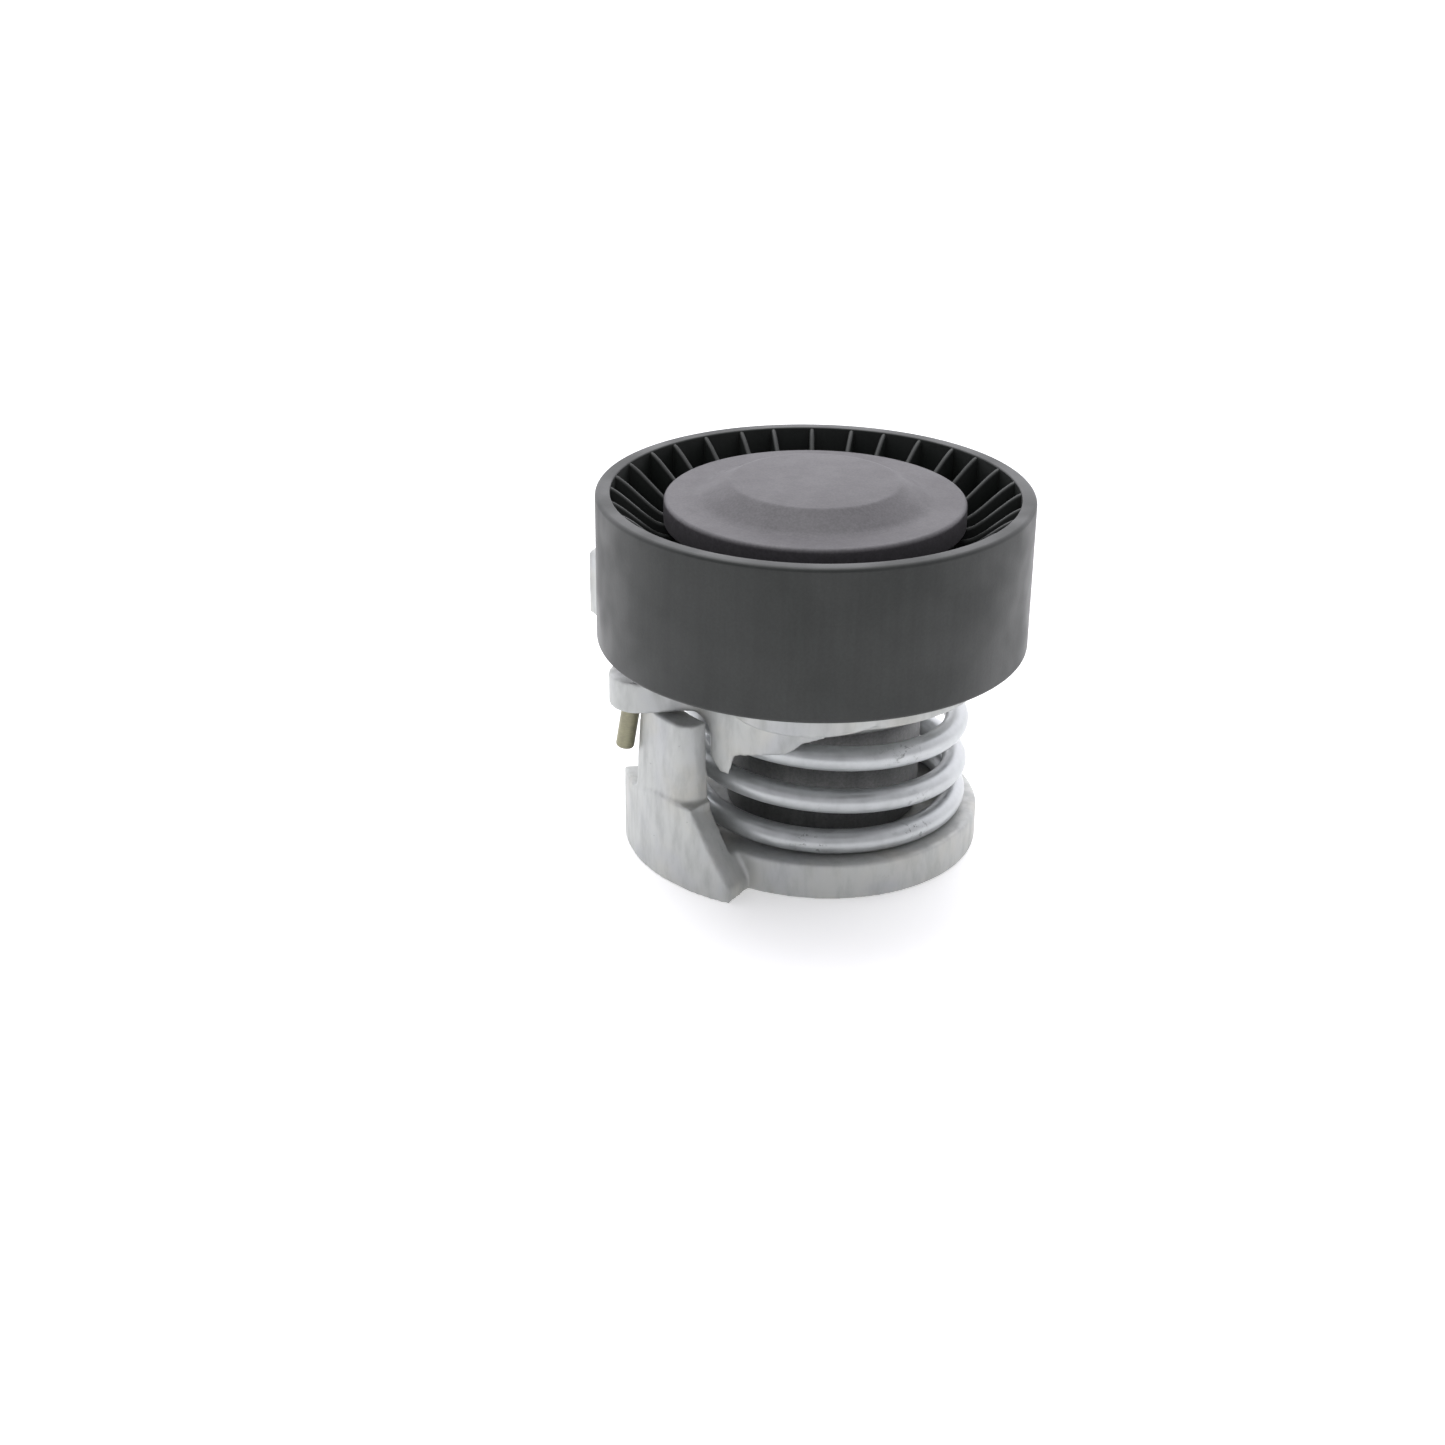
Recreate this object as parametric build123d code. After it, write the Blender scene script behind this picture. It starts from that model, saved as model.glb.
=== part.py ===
"""Spring-loaded belt tensioner with a flat idler pulley, as an assembly of separate pieces.

Frame: origin at the centre of the base's bottom face on the pivot axis, +Z up the pivot,
millimetres.  The arm is modelled at rest, with its stop pin against the base's stop post.
"""
from build123d import *
from math import cos, hypot, radians, sin, sqrt, tan
import os

# ---- overall layout -------------------------------------------------------------------
PULLEY_OFFSET_X = -3.5          # pulley axis from the pivot axis, arm at rest
PULLEY_OFFSET_Y = -18.42
PULLEY_BOTTOM_Z = 45.0
PULLEY_WIDTH = 25.0
PULLEY_RADIUS = 35.25

# ---- clearances and fits ----------------------------------------------------------------
RUNNING = 0.05                  # radial gap of every running fit
AXIAL_PLAY = 0.10               # end play between faces that turn on each other
PASSING_GAP = 0.6               # gap between castings that pass each other

# ---- base casting -----------------------------------------------------------------------
BASE_RADIUS = 27.5
BASE_THICKNESS = 6.75
BLOCK_RADIUS = 32.0             # outer wall of the stop block
BLOCK_CENTRE_X = -3.35          # the block's wall is struck from this point, not the pivot
BLOCK_START = 186.0             # degrees, counter-clockwise from +X
BLOCK_END = 227.0
BLOCK_HEIGHT = 15.6
BLOCK_LOW_HEIGHT = 13.5         # the block's top is lower beyond the post's left side
BLOCK_RAMP_START = 200.0        # degrees, where its top starts to rise ...
BLOCK_RAMP_END = 213.0          # ... and where it is at full height
GUSSET_ANGLE = 238.0            # direction of the gusset's level lines
GUSSET_TOP_SIDE = -6.6          # slope's upper and lower ends, sideways from that direction
GUSSET_FOOT_SIDE = 1.25
GUSSET_FOOT_HEIGHT = 2.6
POST_START = 200.6              # at the post's top
POST_END = 224.2
POST_SETBACK = 1.0              # top of the post's outer face behind the block's wall
POST_DRAFT = 2.5                # degrees, the post widens towards its foot
POST_TOP_Z = 29.8
POST_CORNER = 3.0
BASE_HUB_RADIUS = 12.0
BASE_HUB_TOP_Z = 12.0
EAR_RADIUS = 8.0
EAR_SPACING = 24.0
EAR_CENTRE_X = -2.0
EAR_CENTRE_Y = 32.0
BOLT_HOLE_RADIUS = 4.5
DOWEL_RADIUS = 3.0
DOWEL_DEPTH = 4.5
DOWEL_Y = -20.0

# ---- pivot --------------------------------------------------------------------------------
SHAFT_RADIUS = 7.0
SHAFT_FOOT_Z = 0.8
BUSH_WALL = 1.5
WASHER_THICKNESS = 1.0
RETAINER_THICKNESS = 1.6
RETAINER_RADIUS = 11.0
SHAFT_HEAD_HEIGHT = 0.8

# ---- torsion spring -------------------------------------------------------------------------
WIRE_DIAMETER = 4.2
SPRING_MEAN_RADIUS = 23.2
SPRING_PITCH = 7.9
SPRING_REST_START = 50.0        # the flat end coil lies on the base from here ...
SPRING_REST_END = 270.0         # ... back to here, then the wire climbs
SPRING_ACTIVE_TURNS = 2.50
SPRING_TANG = 7.0               # upper end of the wire, turned up into the arm
SPRING_FOOT_Z = 2.0             # lower end of the wire, turned down into the base
TANG_GAP = 0.1

# ---- spring guide sleeve and damping ring -----------------------------------------------------
SLEEVE_RADIUS = 16.9
SLEEVE_WALL = 1.5
SLEEVE_TOP_Z = 30.0
DAMPER_HEIGHT = 14.0

# ---- arm casting --------------------------------------------------------------------------------
SPRING_ROOF_Z = 31.6            # ceiling of the spring space
COVER_RADIUS = 27.8
COVER_TOP_Z = 38.0
ARM_TOP_Z = 44.2
ARM_HUB_RADIUS = 12.0
CROWN_RADIUS = 15.0             # raised ring round the shaft's head
COUNTERBORE_RADIUS = 12.0
SKIRT_WALL = 2.0
TOOTH_REACH = 0.5               # the stop tooth stands out from the skirt
TOOTH_START = 224.0             # degrees
COLLAR_START = 210.0            # the skirt's wall runs on behind the post to here
DRUM_RADIUS = 19.5
DRUM_WALL = 2.2
DRUM_LOW_Z = 20.3               # lowest part of its edge, behind
DRUM_SLANT_Z = 21.03            # height on the pivot axis of the slanted part of its edge ...
DRUM_SLANT = (-0.113, 0.286, 1)  # ... and the direction that part faces away from
PIN_BOSS_X = -31.8
PIN_BOSS_Y = -13.6
PIN_BOSS_RADIUS = 5.4
PIN_BOSS_HEIGHT = 5.6
ROOF_FRONT_X = -24.3            # the roof's front edge runs from the boss to this point
ROOF_FRONT_Y = -17.7
ROOF_BACK_X = -27.0             # and its rear edge to this one
ROOF_BACK_Y = -3.0
HEX_X = -33.0
HEX_Y = 20.0
HEX_ACROSS_FLATS = 16.0
HEX_BOTTOM_Z = 33.0
HEX_FULL_TOP_Z = 45.3           # lower where the pulley would pass over it
LUG_THICKNESS = 7.0
IDLER_BOSS_RADIUS = 11.4
IDLER_BOSS_ROOT_RADIUS = 14.0

# ---- stop pin --------------------------------------------------------------------------------------
PIN_RADIUS = 1.6
PIN_X = -33.2                   # where the pin leaves the boss
PIN_Y = -10.5
PIN_BOTTOM_Z = 20.5
PIN_TILT = 9.0                  # degrees, foot outwards
PIN_DEPTH = 4.6                 # length pressed into the boss

# ---- idler bearing -----------------------------------------------------------------------------------
BEARING_BORE_RADIUS = 8.5
BEARING_RADIUS = 20.0
BEARING_WIDTH = 12.0
BEARING_BOTTOM_Z = 50.0
INNER_RING_RADIUS = 11.8
OUTER_RING_BORE_RADIUS = 16.7
BALL_RADIUS = 3.37
BALL_COUNT = 8
RACE_GAP = 0.06
SEAL_THICKNESS = 0.7
SEAL_INSET = 0.3

# ---- pulley ------------------------------------------------------------------------------------------
RIM_WALL = 2.42
HUB_WALL = 2.75
HUB_TOP_Z = 66.0
WEB_THICKNESS = 3.0
WEB_BOTTOM_Z = 54.5
RIB_COUNT = 32
RIB_THICKNESS = 0.9
RIB_PHASE = -1.1
RIB_OFFSETS = (0.0, 0.45, -0.75)  # degrees from even spacing, in turn, against belt hum
RIB_RIM_DROP = 0.05             # rib's crest below the rim's face at its outer end ...
RIB_CREST = ((31.1, 1.2), (29.4, 2.7), (27.2, 4.55), (25.5, 5.85))  # ... and (radius, drop) further in
RIB_HUB_DROP = 7.0
RIB_UNDERSIDE_STEP = 1.0
CLIP_LIP = 1.2

# ---- dust cap --------------------------------------------------------------------------------------------
CAP_RADIUS = 24.3
CAP_EDGE_Z = 68.86
CAP_WALL = 1.5
CAP_DOME_RADIUS = 14.0
CAP_DOME_FOOT_RADIUS = 19.2
CAP_DOME_HEIGHT = 2.75
CAP_EDGE_ROUND = 0.6
CAP_GRIP = 1.2                  # how far the cap's skirt reaches over the hub

# ---- pulley bolt ---------------------------------------------------------------------------------------------
BOLT_RADIUS = 4.0
BOLT_FOOT_Z = 39.5
BOLT_HEAD_HEIGHT = 4.0
BOLT_ACROSS_FLATS = 13.0
BOLT_SOCKET_DEPTH = 2.0
BOLT_WASHER_RADIUS = 11.0
BOLT_WASHER_THICKNESS = 1.5

# ---- worked-out places ------------------------------------------------------------------------------------------
PULLEY_AXIS = (PULLEY_OFFSET_X, PULLEY_OFFSET_Y)
PULLEY_TOP_Z = PULLEY_BOTTOM_Z + PULLEY_WIDTH
BUSH_RADIUS = SHAFT_RADIUS + RUNNING + BUSH_WALL
ARM_HUB_BOTTOM_Z = BASE_HUB_TOP_Z + WASHER_THICKNESS + AXIAL_PLAY
COUNTERBORE_Z = ARM_TOP_Z - AXIAL_PLAY - WASHER_THICKNESS - RETAINER_THICKNESS - SHAFT_HEAD_HEIGHT
SHAFT_TOP_Z = ARM_TOP_Z - 0.2
SPRING_COIL_Z = BASE_THICKNESS + WIRE_DIAMETER / 2
SPRING_TOP_Z = SPRING_COIL_Z + SPRING_PITCH * SPRING_ACTIVE_TURNS
POST_INNER_RADIUS = COVER_RADIUS + TOOTH_REACH + PASSING_GAP
ROOF_BOTTOM_Z = POST_TOP_Z + PASSING_GAP
PIN_BOSS_TOP_Z = ROOF_BOTTOM_Z + PIN_BOSS_HEIGHT
HEX_GAP = hypot(HEX_X - PULLEY_OFFSET_X, HEX_Y - PULLEY_OFFSET_Y) - HEX_ACROSS_FLATS / sqrt(3) - PULLEY_RADIUS
HEX_TOP_Z = HEX_FULL_TOP_Z if HEX_GAP > PASSING_GAP else PULLEY_BOTTOM_Z - PASSING_GAP
BEARING_TOP_Z = BEARING_BOTTOM_Z + BEARING_WIDTH
BEARING_MID_Z = BEARING_BOTTOM_Z + BEARING_WIDTH / 2
BALL_PITCH_RADIUS = (INNER_RING_RADIUS + OUTER_RING_BORE_RADIUS) / 2
SHIELD_THICKNESS = 0.8
IDLER_BOSS_TOP_Z = BEARING_BOTTOM_Z - SHIELD_THICKNESS
HUB_RADIUS = BEARING_RADIUS + HUB_WALL
RIM_BORE_RADIUS = PULLEY_RADIUS - RIM_WALL


def disc(radius, bottom, top, x=0.0, y=0.0):
    """Upright solid cylinder between two heights."""
    return Pos(x, y, (bottom + top) / 2) * Cylinder(radius, top - bottom)


def ring(outer, inner, bottom, top, x=0.0, y=0.0):
    """Upright tube between two heights."""
    return disc(outer, bottom, top, x, y) - disc(inner, bottom - 1, top + 1, x, y)


def wedge(start, end, bottom, top, reach=80.0):
    """Sector of the plan between two angles (under 170 degrees apart), as an upright prism."""
    middle = (start + end) / 2
    far = reach / cos(radians((end - start) / 2))
    corners = [(0, 0)]
    for angle in (start, middle, end):
        length = reach if angle == middle else far
        corners.append((length * cos(radians(angle)), length * sin(radians(angle))))
    outline = Polyline(*corners, close=True)
    return Pos(0, 0, bottom) * extrude(make_face(outline), top - bottom)


def turned(points, x=0.0, y=0.0):
    """Solid of revolution of a closed outline of (radius, height) points about an upright axis."""
    outline = Polyline(*[(radius, 0, height) for radius, height in points], close=True)
    face = make_face(outline)
    return Pos(x, y, 0) * revolve(face, Axis.Z)


def upright_plate(points, angle, reach):
    """Outline of (sideways, height) points on the radial plane at an angle, run out to a reach."""
    direction = (cos(radians(angle)), sin(radians(angle)), 0)
    sideways = (-direction[1], direction[0], 0)
    plane = Plane(origin=(0, 0, 0), x_dir=sideways, z_dir=direction)
    outline = Polyline(*points, close=True)
    return extrude(plane * make_face(outline), reach)


def front_plate(points, depth):
    """Outline of (x, z) points run from the pivot axis towards -Y."""
    plane = Plane(origin=(0, 0, 0), x_dir=(1, 0, 0), z_dir=(0, -1, 0))
    outline = Polyline(*points, close=True)
    return extrude(plane * make_face(outline), depth)


def hex_prism(across_flats, bottom, top, x=0.0, y=0.0, turn=0.0):
    """Upright hexagonal prism."""
    outline = RegularPolygon(across_flats / sqrt(3), 6, rotation=turn)
    return Pos(x, y, bottom) * extrude(outline, top - bottom)


# ---- base ---------------------------------------------------------------------------------------------------

def stop_block():
    """Low block on the disc's edge that carries the stop post, with its sloped gusset."""
    height_span = BLOCK_HEIGHT + 1
    wall = disc(BLOCK_RADIUS, 0, height_span, BLOCK_CENTRE_X)
    middle = (BLOCK_RAMP_START + BLOCK_RAMP_END) / 2
    ramp_side = BLOCK_RADIUS * tan(radians(BLOCK_RAMP_END - middle))
    far_side = BLOCK_RADIUS * 2
    top = [(-far_side, 0), (-far_side, BLOCK_LOW_HEIGHT), (-ramp_side, BLOCK_LOW_HEIGHT),
           (ramp_side, BLOCK_HEIGHT), (far_side, BLOCK_HEIGHT), (far_side, 0)]
    block = wall & wedge(BLOCK_START, BLOCK_END, 0, BLOCK_HEIGHT) & upright_plate(top, middle, far_side)
    slope = [(GUSSET_TOP_SIDE - 2, 0), (GUSSET_TOP_SIDE - 2, BLOCK_HEIGHT), (GUSSET_TOP_SIDE, BLOCK_HEIGHT),
             (GUSSET_FOOT_SIDE, GUSSET_FOOT_HEIGHT), (GUSSET_FOOT_SIDE, 0)]
    gusset = wall & upright_plate(slope, GUSSET_ANGLE, PULLEY_RADIUS * 2)
    block = block + gusset - disc(BASE_RADIUS - 2, -1, height_span + 1)
    return block - disc(POST_INNER_RADIUS, BASE_THICKNESS, height_span + 1)


def stop_post():
    """Tall post on the block; its inner face clears the arm's tooth, its top clears the arm's roof."""
    far = PULLEY_RADIUS * 2
    corners = [(far * cos(radians(angle)), far * sin(radians(angle))) for angle in (POST_START, POST_END)]
    outer = Pos(BLOCK_CENTRE_X, 0) * Circle(BLOCK_RADIUS - POST_SETBACK)
    section = outer & make_face(Polyline((0, 0), *corners, close=True))
    section = fillet(section.vertices().sort_by(Axis.Y)[:1], POST_CORNER)
    depth = POST_TOP_Z - BLOCK_LOW_HEIGHT + 0.5
    post = extrude(Pos(0, 0, POST_TOP_Z) * section, depth, dir=(0, 0, -1), taper=-POST_DRAFT)
    post &= disc(BLOCK_RADIUS, 0, POST_TOP_Z + 1, BLOCK_CENTRE_X)
    return post - disc(POST_INNER_RADIUS, 0, POST_TOP_Z + 1)


def base_casting():
    """Round foot with pivot hub, stop block, stop post and two bolt ears."""
    foot = chamfer(disc(BASE_RADIUS, 0, BASE_THICKNESS).edges(), 0.4)
    ear_reach = EAR_SPACING / 2
    for side in (-1, 1):
        ear_x = EAR_CENTRE_X + side * ear_reach
        foot += disc(EAR_RADIUS, 0, BASE_THICKNESS, ear_x, EAR_CENTRE_Y)
    bridge = Box(EAR_SPACING, 2 * EAR_RADIUS, BASE_THICKNESS)
    foot += Pos(EAR_CENTRE_X, EAR_CENTRE_Y, BASE_THICKNESS / 2) * bridge
    web_depth = EAR_CENTRE_Y - EAR_RADIUS
    web = Box(EAR_SPACING + 2 * EAR_RADIUS, web_depth, BASE_THICKNESS)
    foot += Pos(EAR_CENTRE_X, EAR_CENTRE_Y - web_depth / 2, BASE_THICKNESS / 2) * web
    foot += stop_block()
    casting = foot + disc(BASE_HUB_RADIUS, 0, BASE_HUB_TOP_Z) + stop_post()
    casting -= disc(SHAFT_RADIUS, SHAFT_FOOT_Z, BASE_HUB_TOP_Z + 1)
    for side in (-1, 1):
        ear_x = EAR_CENTRE_X + side * ear_reach
        casting -= disc(BOLT_HOLE_RADIUS, -1, BASE_THICKNESS + 1, ear_x, EAR_CENTRE_Y)
    casting -= disc(DOWEL_RADIUS, -1, DOWEL_DEPTH, 0, DOWEL_Y)
    tang_x, tang_y = on_coil(SPRING_REST_START)
    tang_radius = WIRE_DIAMETER / 2 + TANG_GAP
    casting -= disc(tang_radius, SPRING_FOOT_Z - 0.5, BASE_THICKNESS + 1, tang_x, tang_y)
    return casting


def pivot_shaft():
    """Hardened pivot pin, pressed into the base and staked over the retainer."""
    shaft = disc(SHAFT_RADIUS, SHAFT_FOOT_Z, SHAFT_TOP_Z)
    return chamfer(shaft.edges().sort_by(Axis.Z)[-1:], 0.5)


def thrust_washer(bottom):
    """Thin washer between two faces that turn on each other."""
    return ring(RETAINER_RADIUS, SHAFT_RADIUS, bottom, bottom + WASHER_THICKNESS)


def shaft_retainer():
    """Plate that holds the arm down, pressed on the pivot shaft."""
    bottom = COUNTERBORE_Z + AXIAL_PLAY + WASHER_THICKNESS
    top = bottom + RETAINER_THICKNESS
    break_edge = RETAINER_THICKNESS / 4
    return turned([(SHAFT_RADIUS, bottom), (RETAINER_RADIUS, bottom), (RETAINER_RADIUS, top - break_edge),
                   (RETAINER_RADIUS - break_edge, top), (SHAFT_RADIUS, top)])


def spring_guide_sleeve():
    """Moulded sleeve that keeps the coils round and houses the damping ring."""
    inner = SLEEVE_RADIUS - SLEEVE_WALL
    sleeve = ring(SLEEVE_RADIUS, inner, BASE_THICKNESS, SLEEVE_TOP_Z)
    return sleeve + ring(inner, BASE_HUB_RADIUS, BASE_THICKNESS, BASE_THICKNESS + SLEEVE_WALL)


def on_coil(angle):
    """Point of the coil's centre line at an angle, in plan."""
    return SPRING_MEAN_RADIUS * cos(radians(angle)), SPRING_MEAN_RADIUS * sin(radians(angle))


def torsion_spring():
    """Left-hand torsion spring: a flat end coil lying on the base, climbing coils, turned-over ends."""
    wire = WIRE_DIAMETER / 2
    start_x, start_y = on_coil(SPRING_REST_END)
    section = Circle(wire)
    flat_face = Plane(origin=(start_x, start_y, SPRING_COIL_Z), x_dir=(0, 0, 1), z_dir=(1, 0, 0)) * section
    flat_coil = revolve(flat_face, Axis.Z, SPRING_REST_START + 360 - SPRING_REST_END)
    climb = Helix(SPRING_PITCH, SPRING_TOP_Z - SPRING_COIL_Z, SPRING_MEAN_RADIUS, lefthand=True)
    climb = Pos(0, 0, SPRING_COIL_Z) * Rot(0, 0, SPRING_REST_END) * climb
    coils = sweep(Plane(origin=climb @ 0, z_dir=climb % 0) * section, climb, is_frenet=True)
    foot_x, foot_y = on_coil(SPRING_REST_START)
    foot = disc(wire, SPRING_FOOT_Z, SPRING_COIL_Z, foot_x, foot_y)
    foot += Pos(foot_x, foot_y, SPRING_COIL_Z) * Sphere(wire)
    head_x, head_y = on_coil(SPRING_REST_END - 360 * SPRING_ACTIVE_TURNS)
    head = disc(wire, SPRING_TOP_Z, SPRING_TOP_Z + SPRING_TANG, head_x, head_y)
    head += Pos(head_x, head_y, SPRING_TOP_Z) * Sphere(wire)
    return flat_coil + coils + foot + head


# ---- arm ----------------------------------------------------------------------------------------------------

def skirt():
    """Curved wall hanging in front of the top coil, with the stop tooth at its left end."""
    tooth_x = COVER_RADIUS * cos(radians(TOOTH_START))
    collar_x = COVER_RADIUS * cos(radians(COLLAR_START))
    outline = [(collar_x, COVER_TOP_Z), (collar_x, ROOF_BOTTOM_Z), (tooth_x - 3.2, ROOF_BOTTOM_Z),
               (tooth_x - 1.7, 29.7), (tooth_x - 0.5, 29.0), (tooth_x, 27.6),
               (tooth_x, 23.3), (tooth_x + 1.7, 21.1), (tooth_x + 3.1, 21.1),
               (tooth_x + 4.1, 24.7), (-7.4, 26.9), (-4.6, 29.2), (-1.3, 30.2), (-1.3, 30.7),
               (1.5, 30.9), (4.4, 31.6), (4.4, COVER_TOP_Z)]
    wall = ring(COVER_RADIUS, COVER_RADIUS - SKIRT_WALL, 20, COVER_TOP_Z)
    tooth = ring(COVER_RADIUS + TOOTH_REACH, COVER_RADIUS - SKIRT_WALL, 20, COVER_TOP_Z)
    tooth &= wedge(COLLAR_START, TOOTH_START + 10.5, 20, COVER_TOP_Z)
    return (wall + tooth) & front_plate(outline, PULLEY_RADIUS)


def drum():
    """Inner wall round the sleeve, cut on the slant that the top coil seats against."""
    wall = ring(DRUM_RADIUS, DRUM_RADIUS - DRUM_WALL, DRUM_LOW_Z, SPRING_ROOF_Z)
    plane = Plane(origin=(0, 0, DRUM_SLANT_Z), z_dir=DRUM_SLANT)
    cutter = extrude(plane * Rectangle(4 * DRUM_RADIUS, 4 * DRUM_RADIUS), -20)
    return wall - cutter


def pin_boss():
    """Boss for the stop pin and the roof that joins it to the cover, over the stop post."""
    boss = disc(PIN_BOSS_RADIUS, ROOF_BOTTOM_Z, PIN_BOSS_TOP_Z, PIN_BOSS_X, PIN_BOSS_Y)
    corner = PIN_BOSS_RADIUS * sqrt(0.5)
    inside = -COVER_RADIUS + PIN_BOSS_RADIUS * 2
    plan = [(PIN_BOSS_X, PIN_BOSS_Y - PIN_BOSS_RADIUS), (ROOF_FRONT_X, ROOF_FRONT_Y), (inside, ROOF_FRONT_Y),
            (inside, ROOF_BACK_Y), (ROOF_BACK_X, ROOF_BACK_Y), (PIN_BOSS_X - corner, PIN_BOSS_Y + corner)]
    outline = make_face(Polyline(*plan, close=True))
    return boss + Pos(0, 0, ROOF_BOTTOM_Z) * extrude(outline, PIN_BOSS_HEIGHT)


def wrench_lug():
    """Plate running back from the cover, with the hexagon for a ring spanner."""
    across = HEX_ACROSS_FLATS
    hexagon = chamfer(hex_prism(across, HEX_BOTTOM_Z, HEX_TOP_Z, HEX_X, HEX_Y).faces()
                      .sort_by(Axis.Z)[-1].edges(), 0.8)
    length = sqrt(HEX_X ** 2 + HEX_Y ** 2)
    plate = Pos(length / 2, 0, 0) * Box(length, across * 0.8, LUG_THICKNESS)
    plate = Rot(0, 0, 180 - Vector(-HEX_X, HEX_Y, 0).get_angle(Vector(1, 0, 0))) * plate
    lift = HEX_BOTTOM_Z + LUG_THICKNESS / 2
    return hexagon + Pos(0, 0, lift) * plate


def idler_boss():
    """Tapered boss under the pulley with the spigot that the bearing sits on."""
    profile = [(0, SPRING_ROOF_Z + 1), (IDLER_BOSS_ROOT_RADIUS, SPRING_ROOF_Z + 1),
               (IDLER_BOSS_ROOT_RADIUS, COVER_TOP_Z), (IDLER_BOSS_RADIUS, ARM_TOP_Z),
               (IDLER_BOSS_RADIUS, IDLER_BOSS_TOP_Z), (BEARING_BORE_RADIUS, IDLER_BOSS_TOP_Z),
               (BEARING_BORE_RADIUS, BEARING_TOP_Z - 0.6), (BEARING_BORE_RADIUS - 0.5, BEARING_TOP_Z - 0.1),
               (0, BEARING_TOP_Z - 0.1)]
    return turned(profile, *PULLEY_AXIS)


def arm_casting():
    """Swing arm: cover over the spring, hub, idler boss, spanner lug, pin boss and skirt."""
    crown_foot = CROWN_RADIUS + ARM_TOP_Z - COVER_TOP_Z
    cover = turned([(0, SPRING_ROOF_Z), (COVER_RADIUS, SPRING_ROOF_Z), (COVER_RADIUS, COVER_TOP_Z - 1.5),
                    (COVER_RADIUS - 1.5, COVER_TOP_Z), (crown_foot, COVER_TOP_Z),
                    (CROWN_RADIUS, ARM_TOP_Z), (0, ARM_TOP_Z)])
    arm = cover + idler_boss() + wrench_lug() + pin_boss() + skirt() + drum()
    arm += disc(ARM_HUB_RADIUS, ARM_HUB_BOTTOM_Z, COVER_TOP_Z)
    arm -= disc(BUSH_RADIUS, ARM_HUB_BOTTOM_Z - 1, COUNTERBORE_Z + 1)
    arm -= disc(COUNTERBORE_RADIUS, COUNTERBORE_Z, ARM_TOP_Z + 1)
    tang_x, tang_y = on_coil(SPRING_REST_END - 360 * SPRING_ACTIVE_TURNS)
    tang_radius = WIRE_DIAMETER / 2 + TANG_GAP
    arm -= disc(tang_radius, SPRING_ROOF_Z - 1, SPRING_TOP_Z + SPRING_TANG + 0.5, tang_x, tang_y)
    arm -= disc(BOLT_RADIUS, BOLT_FOOT_Z, BEARING_TOP_Z + 1, *PULLEY_AXIS)
    return arm - pin_rod()


def pivot_bush():
    """Plain bearing bush pressed into the arm's hub."""
    return ring(BUSH_RADIUS, SHAFT_RADIUS + RUNNING, ARM_HUB_BOTTOM_Z, COUNTERBORE_Z)


def damping_ring():
    """Friction ring on the arm's hub that rubs inside the guide sleeve."""
    outer = SLEEVE_RADIUS - SLEEVE_WALL - RUNNING
    bottom = ARM_HUB_BOTTOM_Z + 1
    return ring(outer, ARM_HUB_RADIUS, bottom, bottom + DAMPER_HEIGHT)


def pin_rod():
    """Leaning pin, from its foot up into the boss."""
    lean = radians(PIN_TILT)
    length = (ROOF_BOTTOM_Z - PIN_BOTTOM_Z) / cos(lean) + PIN_DEPTH
    rod = Pos(0, 0, length / 2) * Cylinder(PIN_RADIUS, length)
    drop = (ROOF_BOTTOM_Z - PIN_BOTTOM_Z) * tan(lean)
    return Pos(PIN_X - drop, PIN_Y, PIN_BOTTOM_Z) * Rot(0, PIN_TILT, 0) * rod


def stop_pin():
    """Hardened stop pin, pressed into its boss, with a rounded foot."""
    return fillet(pin_rod().edges().sort_by(Axis.Z)[:1], 0.6)


def pulley_bolt():
    """Hexagon flange bolt that clamps the bearing to the arm."""
    seat = BEARING_TOP_Z + BOLT_WASHER_THICKNESS
    shank = disc(BOLT_RADIUS, BOLT_FOOT_Z, seat, *PULLEY_AXIS)
    head = hex_prism(BOLT_ACROSS_FLATS, seat, seat + BOLT_HEAD_HEIGHT, *PULLEY_AXIS)
    crown = turned([(0, seat), (9.0, seat), (9.0, seat + 0.8), (7.6, seat + 1.4),
                    (7.6, seat + BOLT_HEAD_HEIGHT - 0.7), (6.3, seat + BOLT_HEAD_HEIGHT),
                    (0, seat + BOLT_HEAD_HEIGHT)], *PULLEY_AXIS)
    flange = disc(9.0, seat, seat + 1.4, *PULLEY_AXIS)
    socket = disc(3.4, seat + BOLT_HEAD_HEIGHT - BOLT_SOCKET_DEPTH, seat + BOLT_HEAD_HEIGHT + 1, *PULLEY_AXIS)
    return shank + ((head + flange) & crown) - socket


def bolt_washer():
    """Thick washer between bolt head and inner ring."""
    top = BEARING_TOP_Z + BOLT_WASHER_THICKNESS
    return ring(BOLT_WASHER_RADIUS, BOLT_RADIUS + 0.3, BEARING_TOP_Z, top, *PULLEY_AXIS)


def rear_dust_shield():
    """Pressed shield clamped under the inner ring, shadowing the bearing's lower seal."""
    outer = BEARING_RADIUS - CLIP_LIP - 1.3
    bottom = IDLER_BOSS_TOP_Z
    dish = bottom + SHIELD_THICKNESS / 2
    return turned([(BEARING_BORE_RADIUS, bottom), (outer, bottom), (outer, dish), (INNER_RING_RADIUS, dish),
                   (INNER_RING_RADIUS - 0.8, BEARING_BOTTOM_Z), (BEARING_BORE_RADIUS, BEARING_BOTTOM_Z)],
                  *PULLEY_AXIS)


# ---- bearing ------------------------------------------------------------------------------------------------

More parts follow.
